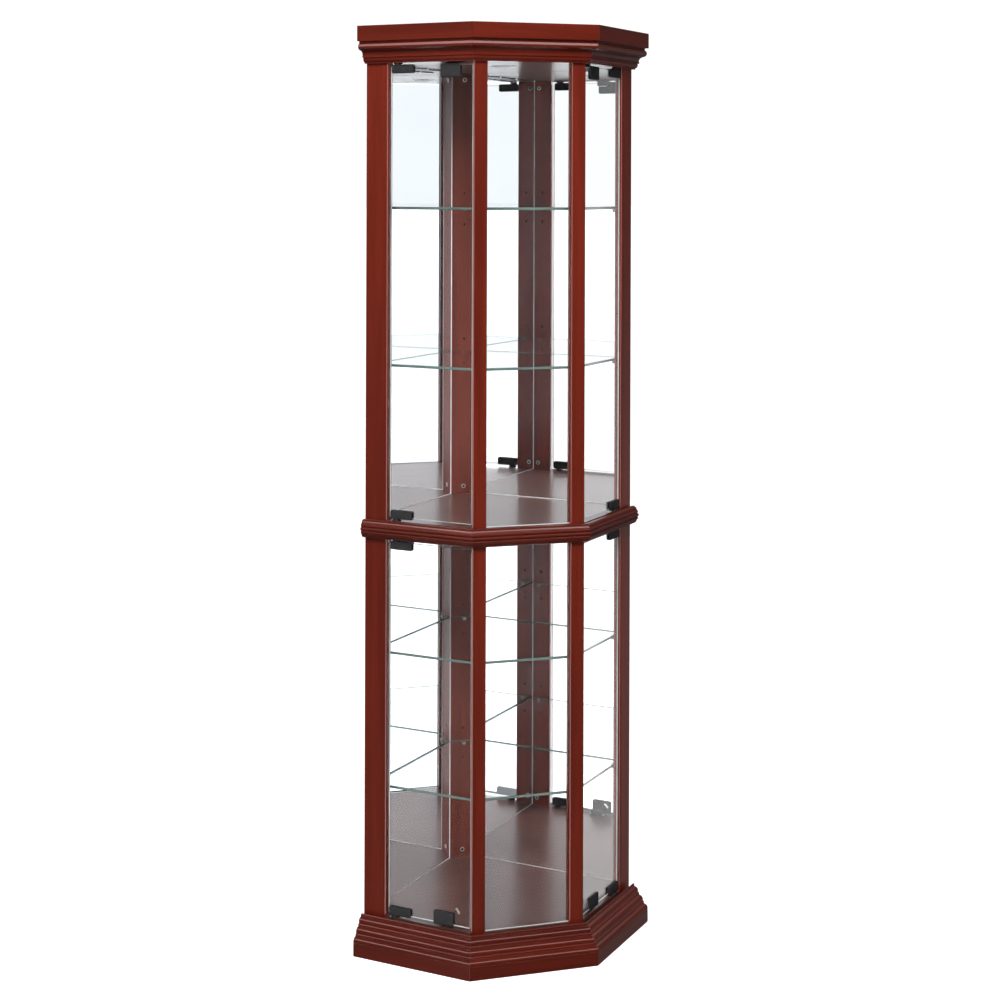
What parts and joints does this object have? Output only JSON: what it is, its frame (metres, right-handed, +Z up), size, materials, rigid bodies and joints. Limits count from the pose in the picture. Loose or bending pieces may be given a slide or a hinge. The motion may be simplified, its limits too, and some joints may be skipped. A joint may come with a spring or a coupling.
{
  "type": "corner curio cabinet",
  "caption": "Tall five-sided corner display cabinet in red wood with mirror back walls, glass doors on both sides, a fixed glass front and glass shelves.",
  "frame": {"origin": "on the floor, at the middle of the outline of the base and cornice", "axes": "+Z up; the fixed glass front faces -Y; +X to the right as seen from the front; the mirror corner is at the back, +Y"},
  "size_m": [0.5994, 0.455, 1.75],
  "materials": {
    "cherry_wood": "reddish cherry stain under satin lacquer",
    "dark_panel": "dark brown, glossy lacquer",
    "hardboard": "plain brown hardboard",
    "mirror": "silvered glass",
    "clear_glass": "clear float glass with polished edges",
    "shelf_glass": "clear float glass, dark green at its edges",
    "black_metal": "satin black",
    "latch_plastic": "matt black moulding",
    "nickel": "bright nickel plate",
    "lead_sheath": "thin dark sheath"
  },
  "bodies": {
    "cabinet": {"back_board_left": "hardboard", "back_board_right": "hardboard", "base_moulding_front": "cherry_wood", "base_moulding_left": "cherry_wood", "base_moulding_right": "cherry_wood", "ceiling_panel": "dark_panel", "cornice_front": "cherry_wood", "cornice_left": "cherry_wood", "cornice_right": "cherry_wood", "floor_panel": "dark_panel", "front_glass_lower": "clear_glass", "front_glass_upper": "clear_glass", "lamp_can": "nickel", "lamp_lead": "lead_sheath", "lamp_lens": "clear_glass", "latch_body_lower_left": "latch_plastic", "latch_body_lower_right": "latch_plastic", "latch_body_upper_left": "latch_plastic", "latch_body_upper_right": "latch_plastic", "mirror_lower_left": "mirror", "mirror_lower_right": "mirror", "mirror_upper_left": "mirror", "mirror_upper_right": "mirror", "post_back": "cherry_wood", "post_front_left": "cherry_wood", "post_front_right": "cherry_wood", "post_left": "cherry_wood", "post_right": "cherry_wood", "shelf_lower_1": "shelf_glass", "shelf_lower_2": "shelf_glass", "shelf_upper_1": "shelf_glass", "shelf_upper_2": "shelf_glass", "top_board": "cherry_wood", "waist_moulding_front": "cherry_wood", "waist_moulding_left": "cherry_wood", "waist_moulding_right": "cherry_wood", "waist_panel": "dark_panel"},
    "door_lower_left": {"door_glass_lower_left": "clear_glass", "hinge_clamp_lower_top_left": "black_metal", "hinge_clamp_lower_bottom_left": "black_metal", "strike_clip_lower_left": "black_metal"},
    "door_lower_right": {"door_glass_lower_right": "clear_glass", "hinge_clamp_lower_top_right": "black_metal", "hinge_clamp_lower_bottom_right": "black_metal", "strike_clip_lower_right": "black_metal"},
    "door_upper_left": {"door_glass_upper_left": "clear_glass", "hinge_clamp_upper_top_left": "black_metal", "hinge_clamp_upper_bottom_left": "black_metal", "strike_clip_upper_left": "black_metal"},
    "door_upper_right": {"door_glass_upper_right": "clear_glass", "hinge_clamp_upper_top_right": "black_metal", "hinge_clamp_upper_bottom_right": "black_metal", "strike_clip_upper_right": "black_metal"},
    "plunger_lower_left": {"latch_plunger_lower_left": "nickel"},
    "plunger_lower_right": {"latch_plunger_lower_right": "nickel"},
    "plunger_upper_left": {"latch_plunger_upper_left": "nickel"},
    "plunger_upper_right": {"latch_plunger_upper_right": "nickel"}
  },
  "joints": [
    {"name": "door_lower_left_hinge", "type": "hinge", "parent": "cabinet", "child": "door_lower_left", "pos_m": [-0.22097, -0.06702, 0.43], "axis": [0, 0, -1], "range_deg": [0, 115]},
    {"name": "door_lower_right_hinge", "type": "hinge", "parent": "cabinet", "child": "door_lower_right", "pos_m": [0.22097, -0.06702, 0.43], "axis": [0, 0, 1], "range_deg": [0, 115]},
    {"name": "door_upper_left_hinge", "type": "hinge", "parent": "cabinet", "child": "door_upper_left", "pos_m": [-0.22097, -0.06702, 1.249], "axis": [0, 0, -1], "range_deg": [0, 115]},
    {"name": "door_upper_right_hinge", "type": "hinge", "parent": "cabinet", "child": "door_upper_right", "pos_m": [0.22097, -0.06702, 1.249], "axis": [0, 0, 1], "range_deg": [0, 115]},
    {"name": "plunger_lower_left_slide", "type": "slide", "parent": "cabinet", "child": "plunger_lower_left", "axis": [0.7071, 0.7071, 0], "range_m": [0, 0.003], "stiffness_N_per_m": 400, "springref_m": -0.002},
    {"name": "plunger_lower_right_slide", "type": "slide", "parent": "cabinet", "child": "plunger_lower_right", "axis": [-0.7071, 0.7071, 0], "range_m": [0, 0.003], "stiffness_N_per_m": 400, "springref_m": -0.002},
    {"name": "plunger_upper_left_slide", "type": "slide", "parent": "cabinet", "child": "plunger_upper_left", "axis": [0.7071, 0.7071, 0], "range_m": [0, 0.003], "stiffness_N_per_m": 400, "springref_m": -0.002},
    {"name": "plunger_upper_right_slide", "type": "slide", "parent": "cabinet", "child": "plunger_upper_right", "axis": [-0.7071, 0.7071, 0], "range_m": [0, 0.003], "stiffness_N_per_m": 400, "springref_m": -0.002}
  ]
}
